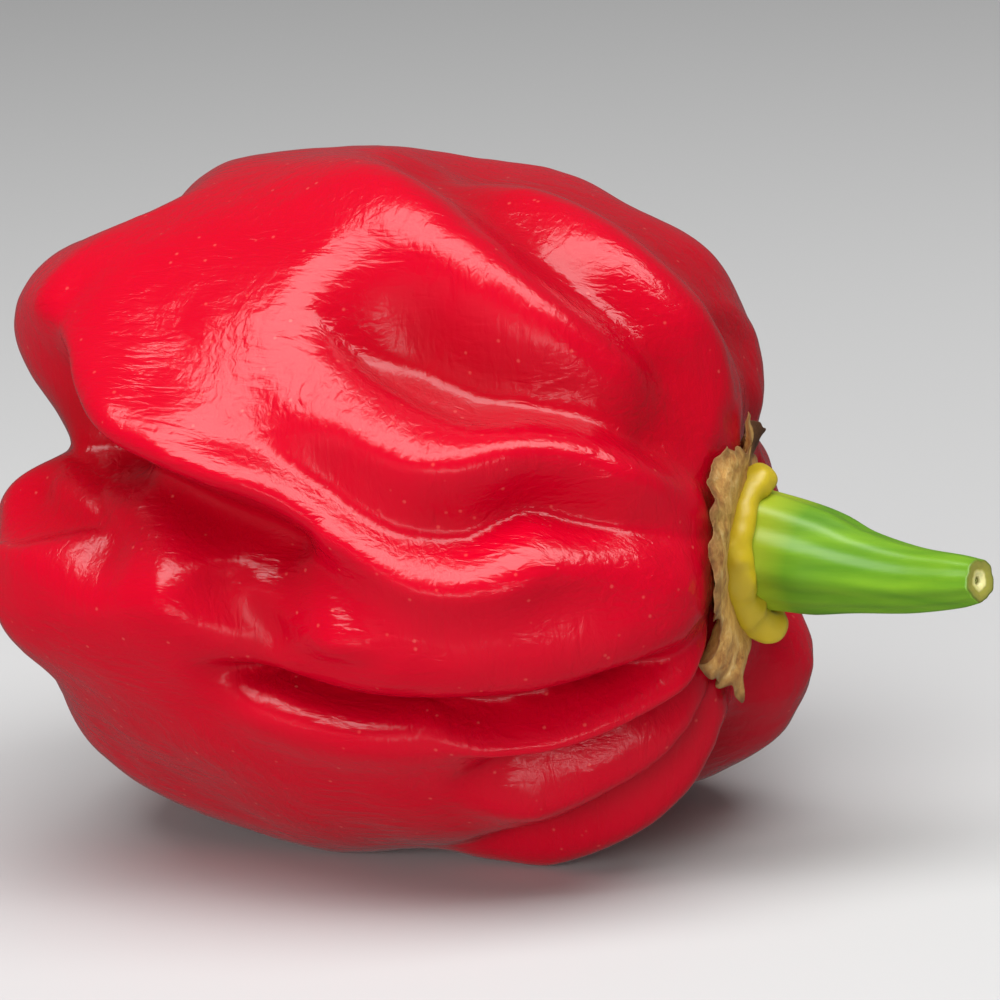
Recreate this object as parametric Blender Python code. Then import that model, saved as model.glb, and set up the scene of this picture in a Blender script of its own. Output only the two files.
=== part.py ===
"""A lantern-shaped red chilli pepper (habanero type), picked, lying on its side.

Three pieces: the folded pod, the dry calyx pressed onto its shoulder, and the cut green stem.
Run with: blender --background --python part.py

Sizes are in millimetres in the plant's own frame: +X runs from the apex to the stem, +Z is up.
A place on the pod is (u, angle): u goes from 0 at the apex to 1 at the stem, and the angle is in
degrees around the axis, 0 on top, 90 on the near side (-Y), 180 underneath and 270 on the far side.
"""
import math

import bmesh
import bpy
import numpy as np
from mathutils import Vector
from mathutils.bvhtree import BVHTree

MM = 0.001
NAME = "chilli_pepper"

# ---- driving dimensions, millimetres -------------------------------------------------------
# half outline of the pod, from the apex dimple to the stem dimple: (along the axis, radius)
OUTLINE = [(-21.0, 0.0), (-22.2, 3.0), (-24.1, 7.5), (-23.8, 12.0), (-20.4, 16.6), (-13.5, 20.0),
           (-4.5, 21.7), (4.5, 21.6), (13.2, 19.6), (19.2, 15.8), (22.1, 11.2), (22.4, 7.8),
           (21.5, 4.2), (21.0, 0.0)]
DROOP = 1.3            # how far the stem end hangs below the apex end
AROUND = 88            # pod vertices around
ALONG = 44             # pod rows from apex to stem

GAP = 0.3              # clearance between touching pieces
CALYX_RADIUS = 7.0     # mean outer radius of the dry margin
CALYX_HOLE = 3.9       # radius of the hole that the stem passes through
COLLAR_RADIUS = 4.9    # ring where the collar is thickest
COLLAR_HEIGHT = 2.0
MARGIN_HEIGHT = 0.7    # thickness of the margin near its rim
POINTS = 5             # sepal points round the margin
POINT_LENGTH = 0.9
COLLAR_SPREAD = 1.3    # how wide the collar's ridge is, from its crest
ABOVE_ALL = 40.0       # a distance along the axis that is beyond the pod's stem end

STEM_PATH = [(22.0, 0.0, -1.2), (26.0, -0.2, -1.5), (31.0, -1.4, -1.6), (38.0, -3.5, -0.7)]
STEM_RADII = [3.45, 3.1, 2.3, 1.5]
STEM_SIDES = 20
STEM_ROWS = 14
STEM_SAMPLES = 61      # places along the smooth path at which a row can sit

# how the fruit is turned to lie at rest, degrees about X and Y
REST_ROLL = -1.1
REST_PITCH = 3.1

# Folds: places along the fold, height (negative is a crease), width towards smaller angles, width
# towards larger angles, and how far the skin leans towards larger angles
FOLDS = [
    # near side, upper half: the big lobe that hangs over the hollow, then the long ridges
    ([(0.19, 34), (0.27, 44), (0.32, 52), (0.35, 60), (0.385, 66), (0.445, 69.5), (0.51, 72),
      (0.555, 76)], 1.7, 6.5, 1.7, 1.0),
    ([(0.385, 66), (0.445, 69), (0.51, 72), (0.56, 76.5), (0.61, 81), (0.65, 83.5), (0.69, 82.5),
      (0.74, 79.5), (0.8, 79), (0.91, 80)], 1.9, 2.2, 1.8, 0.8),
    ([(0.17, 44), (0.24, 53), (0.285, 61), (0.31, 68), (0.36, 74), (0.41, 77), (0.46, 80),
      (0.51, 82.5), (0.55, 86.5), (0.59, 91), (0.63, 96)], -3.2, 1.6, 3.4, 0.0),
    ([(0, 70), (0.12, 71), (0.22, 70), (0.3, 72), (0.38, 78)], -4.2, 4.0, 2.6, 0.0),
    ([(0.1, 24), (0.18, 32), (0.24, 40), (0.3, 46)], 1.3, 5.0, 3.6, 0.0),
    ([(0.46, 66), (0.51, 67.5), (0.55, 71.5), (0.58, 75), (0.61, 77.5), (0.635, 78.5), (0.665, 78),
      (0.69, 75), (0.715, 72.5), (0.75, 73), (0.79, 73), (0.85, 72), (0.92, 71)], -1.9, 1.8, 1.1, 0.0),
    ([(0.47, 60), (0.52, 63), (0.57, 66), (0.615, 69), (0.655, 68), (0.69, 64), (0.72, 61),
      (0.75, 59.5), (0.79, 60.5), (0.86, 62), (0.92, 63)], 1.5, 2.2, 2.4, 0.0),
    ([(0.48, 40), (0.58, 47), (0.67, 51), (0.74, 51), (0.82, 50), (0.93, 50)], -3.4, 4.2, 2.6, 0.0),
    ([(0.5, 43), (0.55, 50), (0.59, 54.5), (0.625, 57), (0.66, 58), (0.7, 57)], -1.2, 1.6, 0.7, 0.0),
    ([(0.38, 1), (0.47, 12), (0.545, 21), (0.61, 30), (0.65, 35), (0.7, 38), (0.76, 40),
      (0.83, 41), (0.92, 40)], 1.8, 3.2, 3.2, 0.0),
    ([(0.45, -3), (0.545, 7), (0.615, 15), (0.684, 23), (0.746, 27), (0.823, 29), (0.92, 30)],
     -1.8, 2.4, 2.6, 0.0),
    ([(0.5, -2), (0.59, 7), (0.67, 13), (0.74, 16), (0.8, 17), (0.9, 19)], 1.2, 4.0, 3.0, 0.0),
    ([(0.18, -40), (0.23, -15), (0.27, 5), (0.31, 22)], -1.7, 3.4, 4.0, 0.0),
    # near side, lower half: the lobes at the apex, the belly, and the folds fanning out from the calyx
    ([(0.22, 82), (0.26, 85), (0.3, 87), (0.34, 88)], -1.2, 2.0, 1.3, 0.0),
    ([(0.1, 106), (0.2, 102), (0.27, 96.5), (0.3, 94), (0.335, 91), (0.37, 89)], 1.2, 1.0, 3.0, -0.9),
    ([(0.24, 106), (0.3, 103), (0.36, 99), (0.4, 96.5), (0.445, 94), (0.475, 90)], 1.2, 2.2, 3.0, 0.0),
    ([(0.46, 88), (0.47, 94), (0.5, 98), (0.53, 104)], -0.9, 1.5, 1.5, 0.0),
    ([(0.545, 84), (0.557, 88), (0.565, 96), (0.57, 101)], 1.0, 2.2, 2.2, 0.0),
    ([(0.5, 91), (0.6, 94), (0.69, 95), (0.77, 93), (0.84, 89), (0.91, 88)], 1.6, 3.6, 4.4, 0.6),
    ([(0.43, 105), (0.465, 107.5), (0.5, 110), (0.565, 112.5), (0.63, 112.5), (0.69, 111.5),
      (0.735, 110), (0.785, 107), (0.83, 104.5), (0.91, 101)], -3.2, 1.3, 1.4, 0.0),
    ([(0.45, 109), (0.5, 113), (0.56, 115.5), (0.63, 115), (0.7, 114)], 0.7, 0.8, 2.2, -0.5),
    ([(0.62, 113), (0.67, 114.5), (0.73, 114.5), (0.78, 113.5), (0.84, 110.5), (0.9, 106)],
     1.3, 1.5, 1.8, 0.6),
    ([(0.62, 129), (0.69, 126.5), (0.74, 124.5), (0.79, 122), (0.85, 119), (0.91, 113)],
     -2.4, 1.2, 2.6, 0.0),
    ([(0.62, 137), (0.68, 134), (0.735, 131.5), (0.785, 129.5), (0.84, 127), (0.91, 120)],
     1.2, 1.8, 2.6, 0.4),
    ([(0.56, 157), (0.64, 154), (0.69, 152), (0.745, 149), (0.8, 146), (0.84, 142.5), (0.91, 134)],
     -2.2, 1.6, 1.6, 0.0),
    ([(0.56, 162), (0.7, 159), (0.8, 155), (0.9, 146)], 1.7, 4.0, 5.0, 0.0),
    # underneath and the far side
    ([(0.3, 182), (0.46, 183), (0.58, 183), (0.7, 182), (0.82, 178), (0.93, 165)], -4.4, 4.2, 4.2, 0.0),
    ([(0.18, 158), (0.3, 161), (0.42, 163), (0.56, 160)], 1.2, 5.0, 4.0, 0.0),
    ([(0.58, 208), (0.74, 210), (0.84, 210), (0.92, 206)], 2.2, 6.0, 6.0, 0.0),
    ([(0.14, 186), (0.36, 198), (0.54, 212)], 1.8, 6.0, 6.0, 0.0),
    ([(0.08, 132), (0.2, 136), (0.34, 140), (0.5, 143)], -0.5, 5.0, 4.0, 0.0),
    ([(0.06, 228), (0.2, 230), (0.34, 232), (0.54, 236), (0.74, 236), (0.93, 232)],
     -3.8, 2.8, 2.8, 0.0),
    ([(0.12, 256), (0.38, 258), (0.58, 262), (0.8, 262)], 1.6, 5.5, 5.0, 0.0),
    ([(0.06, 290), (0.2, 289), (0.36, 290), (0.56, 293), (0.76, 296), (0.93, 300)],
     -3.4, 2.8, 2.8, 0.0),
    ([(0.14, 316), (0.34, 318), (0.52, 322), (0.66, 326)], 1.2, 5.5, 4.5, 0.0),
    ([(0.7, 318), (0.78, 318), (0.86, 318), (0.95, 318)], 1.0, 8.0, 7.0, 0.0),
    ([(0.66, 350), (0.78, 350), (0.93, 346)], -1.4, 5.0, 5.0, 0.0),
]
FOLD_SAMPLES = 60
FADE = 0.25            # share of a fold's length over which each end fades out


def smooth_line(points, count):
    """A Catmull-Rom curve through the points, as count samples evenly spaced in the parameter."""
    knots = np.asarray(points, float)
    knots = np.vstack([2 * knots[0] - knots[1], knots, 2 * knots[-1] - knots[-2]])
    at = np.linspace(0, len(knots) - 3, count)
    i = np.minimum(at.astype(int), len(knots) - 4)
    t = (at - i)[:, None]
    a, b, c, d = knots[i], knots[i + 1], knots[i + 2], knots[i + 3]
    return 0.5 * (2 * b + (c - a) * t + (2 * a - 5 * b + 4 * c - d) * t ** 2
                  + (3 * b - a - 3 * c + d) * t ** 3)


def half_outline(count=400):
    """The pod's outline, resampled so that u is the share of its length."""
    line = smooth_line(OUTLINE, count)
    line[:, 1] = np.maximum(line[:, 1], 0)
    walked = np.concatenate([[0], np.cumsum(np.linalg.norm(np.diff(line, axis=0), axis=1))])
    return walked / walked[-1], line


SHARE, LINE = half_outline()


def round_pod(u, angle):
    """Points on the pod before folding: the outline turned about the axis, which droops."""
    turn = np.radians(angle)
    x = np.interp(u, SHARE, LINE[:, 0])
    r = np.interp(u, SHARE, LINE[:, 1])
    return np.stack([x, -r * np.sin(turn), r * np.cos(turn) - DROOP * u ** 2], -1)


def outward(u, angle):
    """Unit normals of the unfolded pod, from small steps along and around it."""
    step = 0.004
    inside = np.clip(u, 2 * step, 1 - 2 * step)
    along = round_pod(inside + step, angle) - round_pod(inside - step, angle)
    around = round_pod(inside, angle + 0.5) - round_pod(inside, angle - 0.5)
    normal = np.cross(around, along)
    return normal / np.linalg.norm(normal, axis=-1, keepdims=True)


def fade(a):
    """0 at both ends of a fold, 1 between them, smooth."""
    edge = np.clip(np.minimum(a, 1 - a) / FADE, 0, 1)
    return edge * edge * (3 - 2 * edge)


def folded_pod(u, angle):
    """Points on the folded pod: each fold lifts or sinks the skin along the normal, and leans it."""
    start = round_pod(u, angle)
    normal = outward(u, angle)
    moved = start.copy()
    for places, height, before, after, lean in FOLDS:
        route = smooth_line(places, FOLD_SAMPLES)
        spine = round_pod(route[:, 0], route[:, 1])
        forward = np.gradient(spine, axis=0)
        step = np.linalg.norm(forward, axis=1)
        forward = forward / step[:, None]
        side = np.cross(outward(route[:, 0], route[:, 1]), forward)
        near = np.argmin(((start[:, None] - spine[None]) ** 2).sum(-1), axis=1)
        away = start - spine[near]
        run = (away * forward[near]).sum(-1)
        across = (away * side[near]).sum(-1)
        distance = np.sqrt(np.maximum((away ** 2).sum(-1) - run ** 2, 0))
        width = np.where(across > 0, before, after)
        amount = np.exp(-(distance / width) ** 2)
        amount *= fade((near + run / step[near]) / (FOLD_SAMPLES - 1))
        moved += amount[:, None] * (height * normal - lean * side[near])
    return moved


def material(name, colour, roughness):
    """A Principled material from an sRGB colour."""
    made = bpy.data.materials.new(name)
    made.use_nodes = True
    shader = made.node_tree.nodes["Principled BSDF"]
    linear = [(c / 12.92 if c <= 0.04045 else ((c + 0.055) / 1.055) ** 2.4) for c in colour]
    shader.inputs["Base Color"].default_value = (*linear, 1)
    shader.inputs["Roughness"].default_value = roughness
    shader.inputs["Metallic"].default_value = 0
    made.diffuse_color = (*linear, 1)
    return made


def place(name, shape, finish, parent):
    """Turn a bmesh in millimetres into a named object with its material, under the parent."""
    bmesh.ops.scale(shape, vec=(MM, MM, MM), verts=shape.verts)
    bmesh.ops.recalc_face_normals(shape, faces=shape.faces)
    mesh = bpy.data.meshes.new(name)
    shape.to_mesh(mesh)
    shape.free()
    mesh.materials.append(finish)
    made = bpy.data.objects.new(name, mesh)
    made.parent = parent
    parent.users_collection[0].objects.link(made)
    return made


def pod_shape():
    """A sphere whose poles are the apex and the stem end, moved onto the folded pod."""
    shape = bmesh.new()
    bmesh.ops.create_uvsphere(shape, u_segments=AROUND, v_segments=ALONG, radius=1)
    co = np.array([v.co for v in shape.verts])
    u = 1 - np.arccos(np.clip(co[:, 2], -1, 1)) / math.pi
    angle = np.degrees(np.arctan2(co[:, 1], co[:, 0]))
    for vert, spot in zip(shape.verts, folded_pod(u, angle)):
        vert.co = spot
    return shape


def calyx_shape(pod):
    """A torus pressed onto the pod: a thick collar round the stem, thinning to a pointed margin."""
    ground = BVHTree.FromBMesh(pod)
    bpy.ops.mesh.primitive_torus_add(major_segments=60, minor_segments=12,
                                     major_radius=1, minor_radius=0.5)   # radii run 0.5 to 1.5
    torus = bpy.context.object
    shape = bmesh.new()
    shape.from_mesh(torus.data)
    bpy.data.objects.remove(torus)
    for vert in shape.verts:
        x, y, z = vert.co
        turn = math.atan2(y, x)
        inward = 1.5 - math.hypot(x, y)          # 0 at the outer rim, 1 at the hole
        ripple = abs(math.cos(POINTS * turn / 2 + 0.4)) ** 3 - 0.3
        rim = CALYX_RADIUS + POINT_LENGTH * ripple
        radius = rim + (CALYX_HOLE - rim) * inward
        spot = Vector((ABOVE_ALL, -radius * math.sin(turn), radius * math.cos(turn) - DROOP))
        hit = ground.ray_cast(spot, Vector((-1, 0, 0)))[0]
        crest = math.exp(-((radius - COLLAR_RADIUS) / COLLAR_SPREAD) ** 2)
        thick = MARGIN_HEIGHT + (COLLAR_HEIGHT - MARGIN_HEIGHT) * crest
        level = hit.x + 1.5 * GAP + thick * (0.5 + z)
        vert.co = (level, spot.y, spot.z)
    return shape


def stem_shape():
    """A cylinder bent along the stem's path, thick at the calyx and cut off square."""
    shape = bmesh.new()
    bmesh.ops.create_cone(shape, cap_ends=True, segments=STEM_SIDES, radius1=1, radius2=1, depth=1)
    upright = [e for e in shape.edges if abs(e.verts[0].co.z - e.verts[1].co.z) > 0.5]
    bmesh.ops.subdivide_edges(shape, edges=upright, cuts=STEM_ROWS - 1)
    path = smooth_line(STEM_PATH, STEM_SAMPLES)
    radii = smooth_line([(r, 0) for r in STEM_RADII], STEM_SAMPLES)[:, 0]
    forward = np.gradient(path, axis=0)
    forward /= np.linalg.norm(forward, axis=1)[:, None]
    for vert in shape.verts:
        at = int(round((vert.co.z + 0.5) * (STEM_SAMPLES - 1)))
        ahead = Vector(forward[at])
        sideways = ahead.cross(Vector((0, 0, 1))).normalized()
        upwards = sideways.cross(ahead)
        reach = (sideways * vert.co.x + upwards * vert.co.y) * radii[at]
        vert.co = Vector(path[at]) + reach
    return shape


def main():
    for old in list(bpy.data.objects):
        bpy.data.objects.remove(old)
    group = bpy.data.collections.new(NAME)
    bpy.context.scene.collection.children.link(group)
    rest = bpy.data.objects.new("lying", None)
    group.objects.link(rest)

    pod = pod_shape()
    calyx = calyx_shape(pod)
    stem = stem_shape()
    pieces = [place("pod", pod, material("pod_skin", (0.80, 0.01, 0.10), 0.25), rest),
              place("calyx", calyx, material("calyx_tissue", (0.70, 0.62, 0.18), 0.75), rest),
              place("stem", stem, material("stem_skin", (0.47, 0.66, 0.10), 0.4), rest)]

    rest.rotation_euler = (math.radians(REST_ROLL), math.radians(REST_PITCH), 0)
    bpy.context.view_layer.update()
    corners = np.array([p.matrix_world @ v.co for p in pieces for v in p.data.vertices])
    low, high = corners.min(0), corners.max(0)
    rest.location = (-(low[0] + high[0]) / 2, -(low[1] + high[1]) / 2, -low[2])


main()
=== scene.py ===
# %% [markdown]
# # A red lantern chilli pepper
# The real thing is a folded, hollow, glossy fruit with a dry leafy calyx and a cut green stem. The
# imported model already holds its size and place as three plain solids. This lesson makes a fine surface
# for each of them, gives it a finish, and lets it stand in for the solid. Every surface is a formula on
# a grid, in millimetres, in the plant's own frame: +X runs from the apex to the stem and +Z is up.

# %% Load the frame
import math

import bpy
import numpy as np
from mathutils import Matrix, Vector


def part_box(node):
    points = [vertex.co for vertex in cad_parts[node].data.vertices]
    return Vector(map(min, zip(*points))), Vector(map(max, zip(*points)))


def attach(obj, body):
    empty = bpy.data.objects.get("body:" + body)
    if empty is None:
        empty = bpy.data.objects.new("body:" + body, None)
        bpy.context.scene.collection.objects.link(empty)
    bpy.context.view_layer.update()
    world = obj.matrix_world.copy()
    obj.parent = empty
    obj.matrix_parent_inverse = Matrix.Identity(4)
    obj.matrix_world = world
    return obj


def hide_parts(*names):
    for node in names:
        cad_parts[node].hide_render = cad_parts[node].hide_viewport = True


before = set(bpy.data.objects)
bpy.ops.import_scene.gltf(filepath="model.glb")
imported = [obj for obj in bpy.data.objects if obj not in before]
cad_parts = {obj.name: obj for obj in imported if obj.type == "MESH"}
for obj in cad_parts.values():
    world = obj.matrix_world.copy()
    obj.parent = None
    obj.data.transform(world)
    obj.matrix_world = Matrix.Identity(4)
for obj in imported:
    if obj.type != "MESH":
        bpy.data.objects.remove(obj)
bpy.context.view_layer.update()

MM = 0.001

# %% [markdown]
# ## How the fruit lies
# A picked pepper settles on three of its lobes, so its own axis is a little tipped. Rather than bend
# every formula, the points are worked out upright and turned once, by a small roll and pitch, on their
# way into the mesh. The shift stays zero until the pod is there to be measured.

# %% Plant frame to row frame
REST_ROLL = math.radians(-1.1)
REST_PITCH = math.radians(3.1)
TURN = Matrix.Rotation(REST_PITCH, 3, "Y") @ Matrix.Rotation(REST_ROLL, 3, "X")
SHIFT = np.zeros(3)


def to_row(points):
    """Turn the points, take them from millimetres to metres, then add the shift."""
    return np.asarray(points) @ np.array(TURN).T * MM + SHIFT


print("the stem's direction:", np.round(np.array(TURN)[:, 0], 3))

# %% [markdown]
# ## A curve through a few points
# Outlines, creases and the stem's path all follow smooth lines. A Bezier curve needs handles; a
# Catmull-Rom curve goes through its points by itself, so a route is written as the places it passes.

# %% Smooth line
def smooth_line(places, count):
    """A Catmull-Rom curve: each span blends its two ends and their neighbours with cubic weights."""
    knots = np.asarray(places, float)
    knots = np.vstack([2 * knots[0] - knots[1], knots, 2 * knots[-1] - knots[-2]])
    at = np.linspace(0, len(knots) - 3, count)
    i = np.minimum(at.astype(int), len(knots) - 4)
    t = (at - i)[:, None]
    a, b, c, d = knots[i], knots[i + 1], knots[i + 2], knots[i + 3]
    return 0.5 * (2 * b + (c - a) * t + (2 * a - 5 * b + 4 * c - d) * t ** 2
                  + (3 * b - a - 3 * c + d) * t ** 3)


print("a quarter of the way along an arch:", smooth_line([(0, 0), (1, 1), (2, 0)], 5)[1])

# %% [markdown]
# ## A soft random field
# Nothing that grew is quite regular. Value noise puts a random number on each corner of a lattice and
# blends them. The numbers come from the corner's own whole coordinates, so each run gives the same.

# %% Soft noise
NOISE_ORIGIN = 1000
CORNER_KEYS = (73856093, 19349663, 83492791)


def soft_noise(points, size, seed=0):
    """Value noise from -1 to 1: random numbers on a lattice of the given size, blended smoothly."""
    place = np.asarray(points) / size + NOISE_ORIGIN
    cell = np.floor(place).astype(np.int64)
    part = place - cell
    part = part * part * (3 - 2 * part)
    total = np.zeros(place.shape[:-1])
    for corner in np.ndindex(2, 2, 2):
        key = ((cell + corner) * CORNER_KEYS).sum(-1) + seed * 7919
        key = (key ^ (key >> 13)) * 1274126177 & 0x7FFFFFFF
        value = (key ^ (key >> 16)) % 65536 / 32767.5 - 1
        total += value * np.where(corner, part, 1 - part).prod(-1)
    return total


print("noise at three places:", np.round(soft_noise([(0, 0, 0), (1, 2, 3), (4, 4, 4)], 1.7), 2))

# %% [markdown]
# ## The faces of a grid
# Each piece is a tube in its topology: rows of points that close round. Pod and stem also close at
# both ends, with a fan of triangles to a pole, and the calyx pieces are rings whose last row meets the
# first. So one function can number the corners of the faces for all of them.

# %% Faces of a grid
def grid_faces(rows, around, ring):
    """Quads between neighbouring rows; unless it is a ring, a fan from each end row to its pole.

    The poles are the two vertices after the grid's own."""
    i, j = np.meshgrid(np.arange(rows if ring else rows - 1), np.arange(around), indexing="ij")
    below, after = (i + 1) % rows, (j + 1) % around
    quads = np.stack([i * around + j, below * around + j,
                      below * around + after, i * around + after], -1)
    faces = [quads.reshape(-1, 4)]
    step = np.arange(around)
    for end, row in () if ring else ((0, 0), (1, rows - 1)):
        pole = np.full(around, rows * around + end)
        rim = row * around + step
        following = row * around + (step + 1) % around
        fan = (pole, rim, following) if end == 0 else (pole, following, rim)
        faces.append(np.stack(fan, -1))
    return faces


print("faces of a small closed grid:", [len(f) for f in grid_faces(3, 8, False)])

# %% [markdown]
# ## Which way is out
# A shape with its faces turned inwards shades wrongly and has no true volume. The volume under the
# faces tells: it comes out negative when they point inwards, and then they are flipped.

# %% Signed volume
def signed_volume(mesh):
    """Volume inside the mesh, negative if its faces point inwards: summed tetrahedra to the origin."""
    mesh.calc_loop_triangles()
    spots = np.empty(len(mesh.vertices) * 3)
    mesh.vertices.foreach_get("co", spots)
    corner = np.empty(len(mesh.loop_triangles) * 3, int)
    mesh.loop_triangles.foreach_get("vertices", corner)
    a, b, c = spots.reshape(-1, 3)[corner.reshape(-1, 3)].transpose(1, 0, 2)
    return (a * np.cross(b, c)).sum() / 6


# %% [markdown]
# ## From a grid to an object
# foreach_set hands a whole array to the mesh at once, which is much faster than adding vertices one
# by one. The object stays at the origin, unturned: its place is in its mesh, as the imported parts' is.

# %% Grid object
def grid_object(name, points, ring=False):
    """A smooth-shaded mesh over points [rows, around, 3]; a pole is the middle of its end row."""
    rows, around = points.shape[:2]
    poles = [] if ring else [points[0].mean(0), points[-1].mean(0)]
    vertices = np.vstack([points.reshape(-1, 3), *poles])
    faces = grid_faces(rows, around, ring)
    corners = np.concatenate([f.ravel() for f in faces])
    sizes = np.concatenate([np.full(len(f), f.shape[1]) for f in faces])
    mesh = bpy.data.meshes.new(name)
    mesh.vertices.add(len(vertices))
    mesh.vertices.foreach_set("co", to_row(vertices).ravel())
    mesh.loops.add(len(corners))
    mesh.loops.foreach_set("vertex_index", corners)
    mesh.polygons.add(len(sizes))
    mesh.polygons.foreach_set("loop_start", np.concatenate([[0], np.cumsum(sizes)[:-1]]))
    mesh.polygons.foreach_set("use_smooth", np.ones(len(sizes), bool))
    mesh.update(calc_edges=True)
    mesh.validate()
    if signed_volume(mesh) < 0:
        mesh.flip_normals()
    made = bpy.data.objects.new(name, mesh)
    bpy.context.scene.collection.objects.link(made)
    print(f"{name}: {len(mesh.vertices)} vertices, {len(mesh.polygons)} faces")
    return made


# %% [markdown]
# ## A number on every vertex
# A finish often follows the shape: brown at a leaf's edge, or a deeper red painted into a fold as shade.
# Such a number is stored on the vertices as an attribute, and the material reads it by its name.

# %% Paint
def paint(piece, name, values):
    """Store one number per vertex; poles, which have no value of their own, repeat the first ones."""
    layer = piece.data.attributes.new(name, "FLOAT", "POINT")
    spread = np.resize(values, len(piece.data.vertices))
    spread[: values.size] = values.ravel()
    layer.data.foreach_set("value", spread.astype(np.float32))


# %% [markdown]
# ## The pod before it folds
# Seen from the side, a lantern pepper is nearly a barrel, with a dimple at each end. Half of that
# outline, written as a few places (x, radius) in millimetres, is enough to turn a whole pod from. It is
# read by its length from the apex, so that the rows of the grid come out evenly spaced.

# %% Outline of the round pod
OUTLINE = [(-21.0, 0.0), (-22.2, 3.0), (-24.1, 7.5), (-23.8, 12.0), (-20.4, 16.6), (-13.5, 20.0),
           (-4.5, 21.7), (4.5, 21.6), (13.2, 19.6), (19.2, 15.8), (22.1, 11.2), (22.4, 7.8),
           (21.5, 4.2), (21.0, 0.0)]
OUTLINE_SAMPLES = 400

half = smooth_line(OUTLINE, OUTLINE_SAMPLES)
half[:, 1] = np.maximum(half[:, 1], 0)
share = np.concatenate([[0], np.cumsum(np.linalg.norm(np.diff(half, axis=0), axis=1))])
print("outline length, mm:", round(share[-1], 1))
share /= share[-1]

# %% [markdown]
# ## Places on the pod
# A place is (u, angle): u is 0 at the apex and 1 at the stem, and the angle in degrees is 0 on top, 90
# on the near side, 180 underneath and 270 on the far side. The axis droops a little towards the stem.

# %% Round pod and its normals
DROOP = 1.3
NORMAL_STEP_U = 0.004
NORMAL_STEP_ANGLE = 0.5


def round_pod(u, angle):
    """The outline at u, turned by the angle about an axis that sinks with the square of u."""
    around = np.radians(angle)
    x = np.interp(u, share, half[:, 0])
    r = np.interp(u, share, half[:, 1])
    return np.stack([x, -r * np.sin(around), r * np.cos(around) - DROOP * u ** 2], -1)


def outward(u, angle):
    """Unit normals of the round pod: the cross product of small steps around and along it."""
    inside = np.clip(u, 2 * NORMAL_STEP_U, 1 - 2 * NORMAL_STEP_U)
    along = round_pod(inside + NORMAL_STEP_U, angle) - round_pod(inside - NORMAL_STEP_U, angle)
    around = (round_pod(inside, angle + NORMAL_STEP_ANGLE)
              - round_pod(inside, angle - NORMAL_STEP_ANGLE))
    normal = np.cross(around, along)
    return normal / np.linalg.norm(normal, axis=-1, keepdims=True)


print("the middle of the top, mm:", np.round(round_pod(0.5, 0.0), 1))

# %% [markdown]
# ## The folds of the upper near side
# The fruit swells faster than its ribs, so the skin buckles into lobes, ridges and creases that run
# from the calyx to the apex. Sculpting them by hand would be hard to repeat. Here a fold is a route of
# places with a height in millimetres (negative sinks), a width towards smaller and towards larger
# angles, a lean that pushes the skin sideways so that a lobe can hang over a hollow, and a sharpness:
# 2 is a round bell, and less is more pinched.

# %% The long ledge
LIP = [(0.19, 34), (0.27, 44), (0.32, 52), (0.35, 60), (0.385, 66), (0.445, 69.5), (0.51, 72),
       (0.555, 76)]
ROLL = [(0.27, 46), (0.31, 53), (0.345, 60), (0.39, 65.5), (0.445, 69), (0.51, 72), (0.56, 76.5),
        (0.61, 81), (0.65, 83.5), (0.69, 82.5), (0.74, 79.5), (0.80, 79), (0.91, 80)]
HOLLOW = [(0.17, 44), (0.24, 53), (0.285, 61), (0.31, 68), (0.36, 74), (0.41, 77), (0.46, 80),
          (0.51, 82.5), (0.55, 86.5), (0.59, 91), (0.63, 96)]
LEDGE_FOLDS = [
    # route, height, width before, width after, lean, sharpness
    # its lip, the rounded roll that carries on from it, and the hollow beneath both
    (LIP, 1.2, 6.0, 1.7, 0.7, 2),
    (ROLL, 2.2, 2.2, 1.8, 0.8, 2),
    (HOLLOW, -3.2, 1.6, 3.4, 0.0, 2),
    # the notch at the apex that the hollow opens into, and the swelling above it
    ([(0.00, 70), (0.12, 71), (0.22, 70), (0.30, 72), (0.38, 78)], -4.2, 4.0, 2.6, 0.0, 2),
    ([(0.10, 24), (0.18, 32), (0.24, 40), (0.30, 46)], 1.3, 5.0, 3.6, 0.0, 2),
]
print(len(LEDGE_FOLDS), "folds make the ledge")

# %% [markdown]
# ## Above the ledge
# Between the ledge and the top there are two deep valleys and three long swellings, which fan out from
# the stem. The swellings are what catch the light, so their widths matter more than their heights.

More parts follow.
